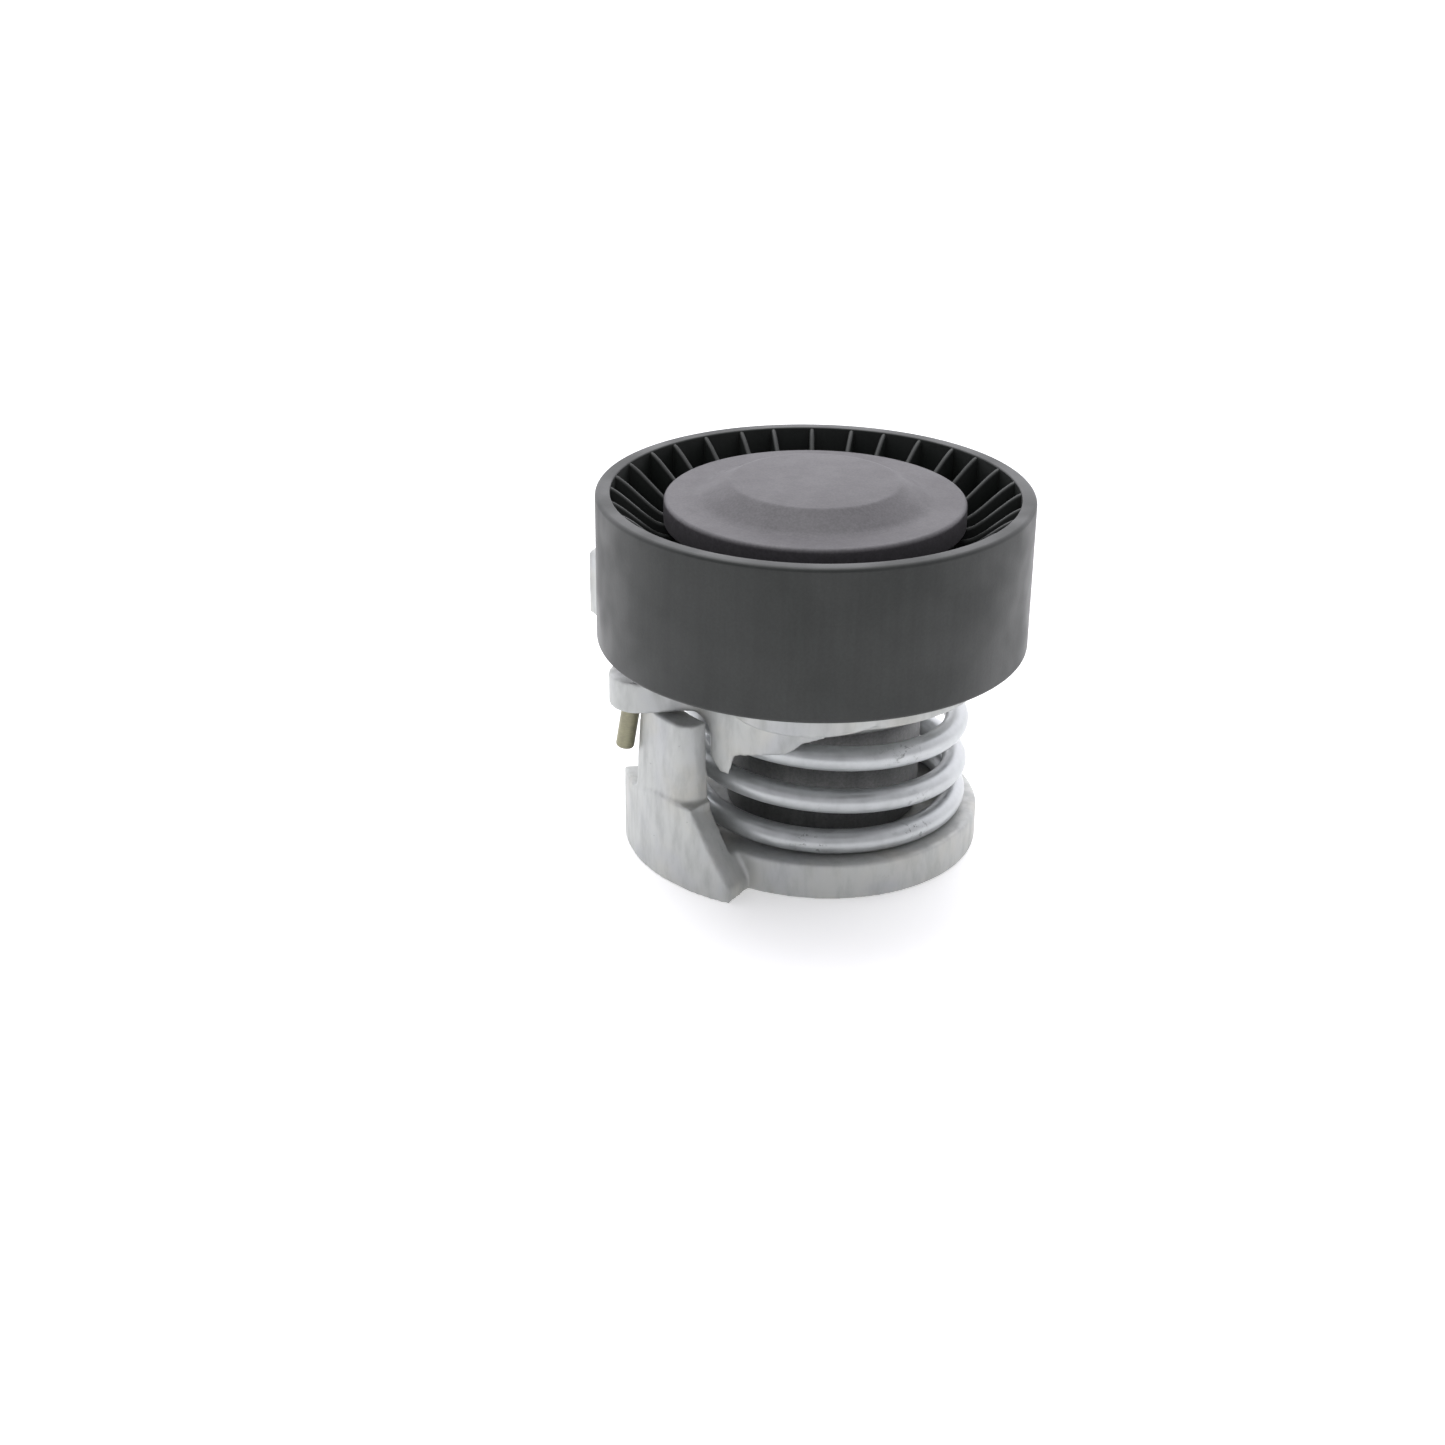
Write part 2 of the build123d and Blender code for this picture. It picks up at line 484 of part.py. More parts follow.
def race_groove(radius):
    """Ring-shaped cutter for a ball race."""
    circle = Plane(origin=(BALL_PITCH_RADIUS, 0, 0), x_dir=(1, 0, 0), z_dir=(0, -1, 0)) * Circle(radius)
    groove = revolve(circle, Axis.Z)
    return Pos(*PULLEY_AXIS, BEARING_MID_Z) * groove


def bearing_inner_ring():
    """Inner ring, clamped to the arm."""
    body = ring(INNER_RING_RADIUS, BEARING_BORE_RADIUS, BEARING_BOTTOM_Z, BEARING_TOP_Z, *PULLEY_AXIS)
    return body - race_groove(BALL_RADIUS + RACE_GAP)


def bearing_outer_ring():
    """Outer ring, pressed into the pulley."""
    body = ring(BEARING_RADIUS, OUTER_RING_BORE_RADIUS, BEARING_BOTTOM_Z, BEARING_TOP_Z, *PULLEY_AXIS)
    return body - race_groove(BALL_RADIUS + RACE_GAP)


def ball_places():
    """Centre of every ball."""
    for index in range(BALL_COUNT):
        angle = radians(360 * index / BALL_COUNT)
        x = PULLEY_OFFSET_X + BALL_PITCH_RADIUS * cos(angle)
        yield x, PULLEY_OFFSET_Y + BALL_PITCH_RADIUS * sin(angle), BEARING_MID_Z


def bearing_balls():
    """Set of balls, each a separate solid."""
    return Compound(children=[Pos(*place) * Sphere(BALL_RADIUS) for place in ball_places()])


def bearing_cage():
    """Crown cage: a moulded ring above the balls with fingers down between them."""
    inner = BALL_PITCH_RADIUS - 1.2
    outer = BALL_PITCH_RADIUS + 1.2
    top = BEARING_MID_Z + BALL_RADIUS + 0.9
    cage = ring(outer, inner, BEARING_MID_Z - 1.8, top, *PULLEY_AXIS)
    for place in ball_places():
        cage -= Pos(*place) * Sphere(BALL_RADIUS + RACE_GAP)
    return cage


def bearing_seal(bottom):
    """Rubber seal fixed in the outer ring, just clear of the inner ring."""
    inner = INNER_RING_RADIUS + RUNNING + 0.05
    return ring(OUTER_RING_BORE_RADIUS, inner, bottom, bottom + SEAL_THICKNESS, *PULLEY_AXIS)


# ---- pulley -------------------------------------------------------------------------------------------------

def rib(index):
    """One radial rib from hub to rim, its crest sloping down to the hub."""
    inner = HUB_RADIUS - 1.0
    outer = PULLEY_RADIUS - RIM_WALL / 2
    top = PULLEY_TOP_Z - RIB_RIM_DROP
    bottom = PULLEY_BOTTOM_Z + RIB_UNDERSIDE_STEP
    crest = [(radius, PULLEY_TOP_Z - drop) for radius, drop in RIB_CREST]
    outline = [(inner, bottom + 3), (outer, bottom), (outer, top), (RIM_BORE_RADIUS, top),
               *crest, (inner, PULLEY_TOP_Z - RIB_HUB_DROP)]
    plane = Plane(origin=(0, RIB_THICKNESS / 2, 0), x_dir=(1, 0, 0), z_dir=(0, -1, 0))
    plate = extrude(plane * make_face(Polyline(*outline, close=True)), RIB_THICKNESS)
    angle = RIB_PHASE + 360 * index / RIB_COUNT + RIB_OFFSETS[(index - 2) % len(RIB_OFFSETS)]
    return Pos(*PULLEY_AXIS, 0) * Rot(0, 0, angle) * plate


def pulley_body():
    """Moulded pulley: plain rim, ribbed web, and the hub moulded round the outer ring."""
    edge = 0.5
    rim = turned([(RIM_BORE_RADIUS, PULLEY_BOTTOM_Z), (PULLEY_RADIUS - edge, PULLEY_BOTTOM_Z),
                  (PULLEY_RADIUS, PULLEY_BOTTOM_Z + edge), (PULLEY_RADIUS, PULLEY_TOP_Z - edge),
                  (PULLEY_RADIUS - edge, PULLEY_TOP_Z), (RIM_BORE_RADIUS, PULLEY_TOP_Z)], *PULLEY_AXIS)
    hub = ring(HUB_RADIUS, BEARING_RADIUS, BEARING_BOTTOM_Z, HUB_TOP_Z, *PULLEY_AXIS)
    lip = ring(HUB_RADIUS, BEARING_RADIUS - CLIP_LIP, BEARING_BOTTOM_Z - 1.2, BEARING_BOTTOM_Z, *PULLEY_AXIS)
    top_lip = ring(BEARING_RADIUS, BEARING_RADIUS - CLIP_LIP, BEARING_TOP_Z, BEARING_TOP_Z + 1.0, *PULLEY_AXIS)
    web = ring(RIM_BORE_RADIUS, HUB_RADIUS, WEB_BOTTOM_Z, WEB_BOTTOM_Z + WEB_THICKNESS, *PULLEY_AXIS)
    ribs = [rib(index) for index in range(RIB_COUNT)]
    return rim + [hub, lip, top_lip, web] + ribs


def dust_cap():
    """Cap with a raised centre that clips over the pulley's hub."""
    top = CAP_EDGE_Z + CAP_DOME_HEIGHT
    inner = HUB_RADIUS
    under = CAP_EDGE_Z - CAP_WALL
    skirt_z = HUB_TOP_Z - CAP_GRIP
    outline = [(0, top), (CAP_DOME_RADIUS, top), (CAP_DOME_FOOT_RADIUS, CAP_EDGE_Z),
               (CAP_RADIUS - CAP_EDGE_ROUND, CAP_EDGE_Z), (CAP_RADIUS, CAP_EDGE_Z - CAP_EDGE_ROUND),
               (CAP_RADIUS, skirt_z), (inner, skirt_z), (inner, under),
               (CAP_DOME_FOOT_RADIUS - CAP_WALL, under), (CAP_DOME_RADIUS - CAP_WALL, top - CAP_WALL),
               (0, top - CAP_WALL)]
    return turned(outline, *PULLEY_AXIS)


PIECES = {
    "base_casting": base_casting,
    "pivot_shaft": pivot_shaft,
    "lower_thrust_washer": lambda: thrust_washer(BASE_HUB_TOP_Z),
    "upper_thrust_washer": lambda: thrust_washer(COUNTERBORE_Z + AXIAL_PLAY),
    "shaft_retainer": shaft_retainer,
    "spring_guide_sleeve": spring_guide_sleeve,
    "torsion_spring": torsion_spring,
    "arm_casting": arm_casting,
    "pivot_bush": pivot_bush,
    "damping_ring": damping_ring,
    "stop_pin": stop_pin,
    "pulley_bolt": pulley_bolt,
    "bolt_washer": bolt_washer,
    "rear_dust_shield": rear_dust_shield,
    "bearing_inner_ring": bearing_inner_ring,
    "bearing_outer_ring": bearing_outer_ring,
    "bearing_balls": bearing_balls,
    "bearing_cage": bearing_cage,
    "lower_bearing_seal": lambda: bearing_seal(BEARING_BOTTOM_Z + SEAL_INSET),
    "upper_bearing_seal": lambda: bearing_seal(BEARING_TOP_Z - SEAL_INSET - SEAL_THICKNESS),
    "pulley_body": pulley_body,
    "dust_cap": dust_cap,
}

os.makedirs("parts", exist_ok=True)
for name, make in PIECES.items():
    export_step(make(), f"parts/{name}.step")
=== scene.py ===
"""Belt tensioner with a flat idler pulley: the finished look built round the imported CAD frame.

The castings are the CAD solids re-skinned with cast radii, the moulded and wound pieces are
surfaces of revolution or tubes worked out with numpy, and the internals keep their CAD shape.
Lengths in the dataclasses are millimetres; one function turns them to the scene's metres.
"""

import logging
import math
from dataclasses import dataclass
from enum import Enum
from typing import Any, Sequence

import bmesh
import bpy
import numpy as np
from mathutils import Matrix, Vector


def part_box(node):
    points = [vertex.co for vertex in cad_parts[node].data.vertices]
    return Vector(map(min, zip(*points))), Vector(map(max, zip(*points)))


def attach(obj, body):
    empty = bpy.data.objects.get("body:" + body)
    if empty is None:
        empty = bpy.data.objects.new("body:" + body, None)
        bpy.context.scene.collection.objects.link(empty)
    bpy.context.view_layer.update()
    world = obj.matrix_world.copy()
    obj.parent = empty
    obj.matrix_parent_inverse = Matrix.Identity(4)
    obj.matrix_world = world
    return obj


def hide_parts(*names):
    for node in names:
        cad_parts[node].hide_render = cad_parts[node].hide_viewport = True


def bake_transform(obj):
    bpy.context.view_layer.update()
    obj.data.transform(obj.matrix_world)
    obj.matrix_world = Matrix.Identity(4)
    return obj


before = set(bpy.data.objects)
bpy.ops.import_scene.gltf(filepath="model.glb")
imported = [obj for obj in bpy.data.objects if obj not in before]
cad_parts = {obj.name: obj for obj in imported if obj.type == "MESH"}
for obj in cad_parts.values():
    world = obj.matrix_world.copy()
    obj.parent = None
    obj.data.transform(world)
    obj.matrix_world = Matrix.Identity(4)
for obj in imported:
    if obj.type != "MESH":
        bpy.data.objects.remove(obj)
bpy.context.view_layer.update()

LOG = logging.getLogger("tensioner")
Array = np.ndarray


# ---- units and colour --------------------------------------------------------------------

def metres(millimetres: Any) -> Any:
    """Length or array of lengths in millimetres, as metres."""
    return np.asarray(millimetres, float) * 0.001 if np.ndim(millimetres) else millimetres * 0.001


def per_metre(feature_mm: float) -> float:
    """Texture scale that makes one feature of a noise about this many millimetres across."""
    return 1000.0 / feature_mm


def linear(colour: str) -> tuple[float, float, float, float]:
    """sRGB hex colour as linear RGBA.

    Args:
        colour: six hex digits after a hash sign.

    Returns:
        Linear red, green, blue and an alpha of 1.
    """
    values = [int(colour[i:i + 2], 16) / 255 for i in (1, 3, 5)]
    lit = [v / 12.92 if v <= 0.04045 else ((v + 0.055) / 1.055) ** 2.4 for v in values]
    return (*lit, 1.0)


# ---- node trees ----------------------------------------------------------------------------

def add_node(tree: bpy.types.NodeTree, kind: str, settings: dict[str, Any] | None = None,
             inputs: dict[Any, Any] | None = None) -> bpy.types.Node:
    """Adds one shader node.

    Args:
        tree: the material's or world's node tree.
        kind: the node's type name without its "ShaderNode" start.
        settings: the node's own properties.
        inputs: values for its sockets by name or number; a socket given as a value is linked.

    Returns:
        The new node.
    """
    node = tree.nodes.new("ShaderNode" + kind)
    for name, value in (settings or {}).items():
        setattr(node, name, value)
    for name, value in (inputs or {}).items():
        if isinstance(value, bpy.types.NodeSocket):
            tree.links.new(value, node.inputs[name])
        else:
            node.inputs[name].default_value = value
    return node


def ramp(tree: bpy.types.NodeTree, factor: bpy.types.NodeSocket,
         stops: Sequence[tuple[float, str]]) -> bpy.types.NodeSocket:
    """Colour ramp through hex colours.

    Args:
        tree: the node tree.
        factor: the socket that drives it.
        stops: (position, hex colour) pairs in rising order.

    Returns:
        The ramp's colour socket.
    """
    node = add_node(tree, "ValToRGB", None, {"Fac": factor})
    elements = node.color_ramp.elements
    while len(elements) < len(stops):
        elements.new(0.5)
    for element, (position, colour) in zip(elements, stops):
        element.position = position
        element.color = linear(colour)
    return node.outputs["Color"]


def remap(tree: bpy.types.NodeTree, value: bpy.types.NodeSocket, source: tuple[float, float],
          target: tuple[float, float]) -> bpy.types.NodeSocket:
    """Value moved from one range to another, held inside the second."""
    node = add_node(tree, "MapRange", {"clamp": True}, {
        "Value": value, "From Min": source[0], "From Max": source[1],
        "To Min": target[0], "To Max": target[1]})
    return node.outputs["Result"]


def mix_colour(tree: bpy.types.NodeTree, factor: Any, first: Any, second: Any,
               blend: str = "MIX") -> bpy.types.NodeSocket:
    """Two colours mixed by a factor."""
    node = add_node(tree, "Mix", {"data_type": "RGBA", "blend_type": blend},
                    {0: factor, 6: first, 7: second})
    return node.outputs[2]


def noise(tree: bpy.types.NodeTree, place: bpy.types.NodeSocket, feature_mm: float,
          detail: float = 3.0, rough: float = 0.55, stretch: tuple[float, float, float] = (1, 1, 1),
          twist: float = 0.0) -> bpy.types.NodeSocket:
    """Noise with features of a real size.

    Args:
        tree: the node tree.
        place: coordinates in metres.
        feature_mm: size of one feature in millimetres.
        detail: number of finer octaves.
        rough: strength of the finer octaves.
        stretch: scale of the coordinates along each axis before the noise.
        twist: distortion of the pattern.

    Returns:
        The noise's value, about 0.3 to 0.7.
    """
    mapped = add_node(tree, "Mapping", None, {"Vector": place, "Scale": stretch})
    node = add_node(tree, "TexNoise", None, {
        "Vector": mapped.outputs[0], "Scale": per_metre(feature_mm), "Detail": detail,
        "Roughness": rough, "Distortion": twist})
    return node.outputs["Fac"]


def bump(tree: bpy.types.NodeTree, height: bpy.types.NodeSocket, depth_mm: float, strength: float,
         under: bpy.types.NodeSocket | None = None) -> bpy.types.NodeSocket:
    """Bump of a real depth, laid over another normal if one is given."""
    inputs: dict[Any, Any] = {"Height": height, "Distance": metres(depth_mm), "Strength": strength}
    if under is not None:
        inputs["Normal"] = under
    return add_node(tree, "Bump", None, inputs).outputs["Normal"]


def new_material(name: str) -> tuple[bpy.types.Material, bpy.types.NodeTree, bpy.types.Node,
                                     bpy.types.NodeSocket]:
    """Empty material with a Principled shader.

    Args:
        name: the material's name.

    Returns:
        The material, its tree, the shader node and the object coordinates socket.
    """
    material = bpy.data.materials.new(name)
    material.use_nodes = True
    tree = material.node_tree
    tree.nodes.clear()
    shader = add_node(tree, "BsdfPrincipled")
    add_node(tree, "OutputMaterial", None, {"Surface": shader.outputs[0]})
    place = add_node(tree, "TexCoord").outputs["Object"]
    return material, tree, shader, place


def plug(tree: bpy.types.NodeTree, shader: bpy.types.Node, **sockets: Any) -> None:
    """Sets or links the shader's sockets, named with underscores for spaces."""
    for name, value in sockets.items():
        socket = shader.inputs[name.replace("_", " ")]
        if isinstance(value, bpy.types.NodeSocket):
            tree.links.new(value, socket)
        else:
            socket.default_value = value


# ---- finishes --------------------------------------------------------------------------------

@dataclass(frozen=True)
class CastAluminium:
    """Pressure die-cast aluminium, shot-blasted: pale satin grey, streaked, blotched and pitted."""

    name: str = "die_cast_aluminium"
    body: str = "#b2b4b2"
    cool: str = "#adafb1"
    warm: str = "#b6b5ae"
    flow: str = "#9c9e9c"
    pit: str = "#3c3d3c"
    blotch_mm: float = 7.0          # cooling blotches
    flow_mm: float = 2.2            # metal flow marks
    pit_mm: float = 2.6             # spacing of the open pores
    blast_mm: float = 0.35          # shot-blast dimples
    metallic: float = 0.55
    roughness: tuple[float, float] = (0.42, 0.62)

    def build(self) -> bpy.types.Material:
        """Makes the material."""
        material, tree, shader, place = new_material(self.name)
        blotch = noise(tree, place, self.blotch_mm, 3.0)
        tint = noise(tree, place, self.blotch_mm * 1.7, 2.0, twist=0.6)
        flow = noise(tree, place, self.flow_mm, 5.0, 0.65, (1.0, 1.0, 0.3), 0.15)
        grain = noise(tree, place, self.blast_mm, 2.0)
        pores = noise(tree, place, self.pit_mm, 6.0, 0.72)
        colour = mix_colour(tree, remap(tree, tint, (0.40, 0.62), (0, 1)),
                            linear(self.cool), linear(self.warm))
        colour = mix_colour(tree, remap(tree, blotch, (0.38, 0.60), (0.25, 0.95)), colour,
                            linear(self.body))
        colour = mix_colour(tree, remap(tree, flow, (0.45, 0.72), (0, 0.5)), colour,
                            linear(self.flow))
        pit_mask = remap(tree, pores, (0.685, 0.72), (0, 0.85))
        colour = mix_colour(tree, pit_mask, colour, linear(self.pit))
        rough = remap(tree, flow, (0.35, 0.65), self.roughness)
        normal = bump(tree, grain, 0.02, 0.35)
        normal = bump(tree, flow, 0.05, 0.25, normal)
        plug(tree, shader, Base_Color=colour, Metallic=self.metallic, Roughness=rough,
             Normal=normal)
        return material


@dataclass(frozen=True)
class MouldedPolyamide:
    """Glass-filled polyamide moulding: dark, satin, with a fine eroded grain and soft streaks."""

    name: str
    light: str
    dark: str
    grain_mm: float = 0.45          # spark-eroded tool texture
    streak_mm: float = 1.6          # flow and rub streaks
    streak: tuple[float, float, float] = (1.0, 1.0, 0.08)
    grain_depth_mm: float = 0.02
    roughness: tuple[float, float] = (0.42, 0.55)

    def build(self) -> bpy.types.Material:
        """Makes the material."""
        material, tree, shader, place = new_material(self.name)
        grain = noise(tree, place, self.grain_mm, 2.0, 0.6)
        streaks = noise(tree, place, self.streak_mm, 4.0, 0.6, self.streak)
        clouds = noise(tree, place, self.streak_mm * 7, 2.0)
        shade = mix_colour(tree, remap(tree, streaks, (0.35, 0.65), (0, 1)),
                           linear(self.dark), linear(self.light))
        speck = remap(tree, grain, (0.35, 0.65), (0.86, 1.12))
        speck_colour = add_node(tree, "CombineColor", None, {0: speck, 1: speck, 2: speck})
        colour = mix_colour(tree, 1.0, shade, speck_colour.outputs[0], "MULTIPLY")
        rough = remap(tree, clouds, (0.38, 0.62), self.roughness)
        normal = bump(tree, grain, self.grain_depth_mm, 0.5)
        plug(tree, shader, Base_Color=colour, Roughness=rough, Normal=normal,
             IOR=1.53, Specular_IOR_Level=0.4)
        return material


@dataclass(frozen=True)
class ZincFlakeWire:
    """Spring wire under a zinc-flake coating: silvery, soft sheen, dark where coils have rubbed."""

    name: str = "zinc_flake_wire"
    body: str = "#c0c3c4"
    shade: str = "#b2b5b6"
    scuff: str = "#4b4a48"
    cloud_mm: float = 3.5
    scuff_mm: float = 1.1
    flake_mm: float = 0.3
    metallic: float = 0.6
    roughness: tuple[float, float] = (0.30, 0.46)

    def build(self) -> bpy.types.Material:
        """Makes the material; the scuffs sit where the mesh's "rub" attribute is high."""
        material, tree, shader, place = new_material(self.name)
        cloud = noise(tree, place, self.cloud_mm, 4.0)
        flake = noise(tree, place, self.flake_mm, 2.0)
        chips = noise(tree, place, self.scuff_mm, 5.0, 0.7, twist=0.5)
        rub = add_node(tree, "Attribute", {"attribute_name": "rub"}).outputs["Fac"]
        colour = mix_colour(tree, remap(tree, cloud, (0.38, 0.62), (0, 1)),
                            linear(self.shade), linear(self.body))
        edge = add_node(tree, "Math", {"operation": "MULTIPLY"},
                        {0: remap(tree, chips, (0.56, 0.62), (0, 1)), 1: rub}).outputs[0]
        colour = mix_colour(tree, edge, colour, linear(self.scuff))
        rough = remap(tree, cloud, (0.35, 0.65), self.roughness)
        normal = bump(tree, flake, 0.012, 0.35)
        plug(tree, shader, Base_Color=colour, Metallic=self.metallic, Roughness=rough,
             Normal=normal)
        return material


@dataclass(frozen=True)
class MachinedMetal:
    """Turned or ground metal with fine rings, for shafts, pins, races and fasteners."""

    name: str
    light: str
    dark: str
    metallic: float = 0.9
    roughness: tuple[float, float] = (0.25, 0.4)
    ring_mm: float = 0.5
    tint: str | None = None

    def build(self) -> bpy.types.Material:
        """Makes the material."""
        material, tree, shader, place = new_material(self.name)
        rings = noise(tree, place, self.ring_mm, 3.0, 0.6, (0.15, 0.15, 1.0))
        stain = noise(tree, place, 2.5, 4.0)
        colour = mix_colour(tree, remap(tree, rings, (0.35, 0.65), (0, 1)),
                            linear(self.dark), linear(self.light))
        colour = mix_colour(tree, remap(tree, stain, (0.42, 0.66), (0, 0.6)), colour,
                            linear(self.tint or self.dark))
        rough = remap(tree, stain, (0.35, 0.65), self.roughness)
        normal = bump(tree, rings, 0.01, 0.3)
        plug(tree, shader, Base_Color=colour, Metallic=self.metallic, Roughness=rough,
             Normal=normal)
        return material


class Finish(Enum):
    """The finishes this object uses, one for each kind of surface."""

    # Pale satin castings, faintly streaked by the metal's flow.
    CASTING = CastAluminium()
    # Nearly black pulley with a slight green cast and soft upright streaks on its wall.
    PULLEY = MouldedPolyamide("pulley_polyamide", "#1f2220", "#1a1d1b")
    # Cap in a lighter, warmer grey than the pulley, with an even fine grain.
    CAP = MouldedPolyamide("cap_polyamide", "#4b494c", "#454346", grain_mm=0.4, streak_mm=1.2,
                           streak=(1.0, 1.0, 1.0), grain_depth_mm=0.03, roughness=(0.5, 0.56))
    # Mid grey sleeve that shows between the coils.
    SLEEVE = MouldedPolyamide("sleeve_polyamide", "#717271", "#636464", streak_mm=2.5,
                              roughness=(0.4, 0.55))
    # Silvery wire with a soft highlight along each coil.
    WIRE = ZincFlakeWire()
    # Dull olive-grey pin.
    PIN = MachinedMetal("passivated_pin_steel", "#908e76", "#85836d", ring_mm=0.15,
                        roughness=(0.38, 0.5), tint="#7d786a", metallic=0.6)
    # Bright turned pieces of the pivot.
    STEEL = MachinedMetal("turned_steel", "#bdbdbd", "#8d8d8e")
    # Smoother and brighter than the turned pieces, with finer rings.
    BEARING = MachinedMetal("ground_bearing_steel", "#c9c9cb", "#a9a9ac", roughness=(0.14, 0.24),
                            ring_mm=0.3)
    # Dark matt bolt and washer.
    BOLT = MachinedMetal("phosphated_steel", "#55554f", "#3c3c39", metallic=0.7,
                         roughness=(0.45, 0.6))
    # Yellow-brown bush.
    BRONZE = MachinedMetal("bush_bronze", "#b58a4d", "#8f6a38")
    # Cream washers, damping ring and ball cage.
    LINING = MouldedPolyamide("friction_polymer", "#c2b48c", "#a99b76", streak_mm=2.0)
    # Black, dull seals.
    RUBBER = MouldedPolyamide("nitrile_rubber", "#2b2b2b", "#202020", roughness=(0.6, 0.75))

    def material(self) -> bpy.types.Material:
        """The finish's material, made once."""
        found = bpy.data.materials.get(self.value.name)
        return found or self.value.build()


# ---- surfaces ----------------------------------------------------------------------------------

def mesh_object(name: str, points: Array, faces: Array | list, finish: Finish,
                smooth_angle: float = 35.0) -> bpy.types.Object:
    """Object at the origin from points in millimetres.

    Args:
        name: the piece's name.
        points: (n, 3) array of places.
        faces: corner numbers of each face.
        finish: the surface finish.
        smooth_angle: edges sharper than this many degrees stay crisp.

    Returns:
        The new object, linked to the scene.
    """
    mesh = bpy.data.meshes.new(name)
    corners = faces if isinstance(faces, list) else faces.tolist()
    mesh.from_pydata(metres(points).reshape(-1, 3), [], corners)
    mesh.validate()
    piece = bpy.data.objects.new(name, mesh)
    bpy.context.scene.collection.objects.link(piece)
    mesh.materials.append(finish.material())
    shade(piece, smooth_angle)
    return piece


def shade(piece: bpy.types.Object, angle: float) -> None:
    """Smooth shading with crisp edges above an angle in degrees."""
    mesh = piece.data
    mesh.shade_smooth()
    mesh.set_sharp_from_angle(angle=math.radians(angle))


def grid_faces(rows: int, columns: int, wrap_rows: bool, wrap_columns: bool) -> Array:
    """Quads of a grid of points numbered row by row.

    Args:
        rows: points down the grid.
        columns: points across it.
        wrap_rows: the last row joins the first.
        wrap_columns: the last column joins the first.

    Returns:
        (n, 4) array of corner numbers.
    """
    row = np.arange(rows if wrap_rows else rows - 1)
    column = np.arange(columns if wrap_columns else columns - 1)
    r, c = np.meshgrid(row, column, indexing="ij")
    r2, c2 = (r + 1) % rows, (c + 1) % columns
    corners = [r * columns + c, r * columns + c2, r2 * columns + c2, r2 * columns + c]
    return np.stack([k.ravel() for k in corners], 1)


def rounded(outline: Sequence[tuple[float, float, float]], step: float = 15.0) -> Array:
    """Closed outline with its corners turned to arcs.

    Each corner of radius r is cut back r*tan(turn/2) along both sides and filled with the arc
    that is tangent to them.

    Args:
        outline: (x, y, corner radius) of each corner, in order.
        step: degrees of turn between points of an arc.

    Returns:
        (n, 2) array of the points of the finished outline.
    """
    corners = np.array(outline, float)
    points: list[Array] = []
    for before, here, after in zip(np.roll(corners, 1, 0), corners, np.roll(corners, -1, 0)):
        spot, radius = here[:2], here[2]
        back, ahead = before[:2] - spot, after[:2] - spot
        back, ahead = back / np.linalg.norm(back), ahead / np.linalg.norm(ahead)
        inside = math.acos(float(np.clip(back @ ahead, -1, 1)))
        if radius <= 0 or math.pi - inside < 1e-3:
            points.append(spot[None])
            continue
        bisector = (back + ahead) / np.linalg.norm(back + ahead)
        centre = spot + bisector * radius / math.sin(inside / 2)
        start = spot + back * radius / math.tan(inside / 2) - centre
        end = spot + ahead * radius / math.tan(inside / 2) - centre
        count = max(2, int(math.degrees(math.pi - inside) / step) + 2)
        turn = math.atan2(start[0] * end[1] - start[1] * end[0], float(start @ end))
        angles = np.linspace(0, turn, count)
        spun_x = start[0] * np.cos(angles) - start[1] * np.sin(angles)
        spun_y = start[0] * np.sin(angles) + start[1] * np.cos(angles)
        points.append(centre + np.stack([spun_x, spun_y], 1))
    return np.concatenate(points)


def lathe(profile: Array, centre: Array, segments: int = 192) -> tuple[Array, Array]:
    """Surface of revolution of a closed (radius, height) profile.

    The point at angle a and profile place (r, z) is centre + (r cos a, r sin a, z).  The profile
    runs counter-clockwise in (radius, height), so that the faces point outwards.

    Args:
        profile: (n, 2) closed outline.
        centre: axis in plan, millimetres.
        segments: steps round the axis.

    Returns:
        Points and quads.
    """
    angle = np.linspace(0, 2 * np.pi, segments, endpoint=False)[:, None]
    radius, height = profile[None, :, 0], profile[None, :, 1]
    points = np.stack([centre[0] + radius * np.cos(angle), centre[1] + radius * np.sin(angle),
                       np.broadcast_to(height, (segments, len(profile)))], 2)
    return points.reshape(-1, 3), grid_faces(segments, len(profile), True, True)


def join(parts: Sequence[tuple[Array, Array]]) -> tuple[Array, list]:
    """Several surfaces as one list of points and faces."""
    points, faces, base = [], [], 0
    for part_points, part_faces in parts:
        points.append(part_points)
        faces.extend((np.asarray(part_faces) + base).tolist())
        base += len(part_points)
    return np.concatenate(points), faces


def axis_of(node: str) -> Array:
    """Centre of a CAD node's box, in millimetres."""
    low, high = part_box(node)
    return np.array([(low[i] + high[i]) * 500 for i in range(3)])


# ---- pulley --------------------------------------------------------------------------------------

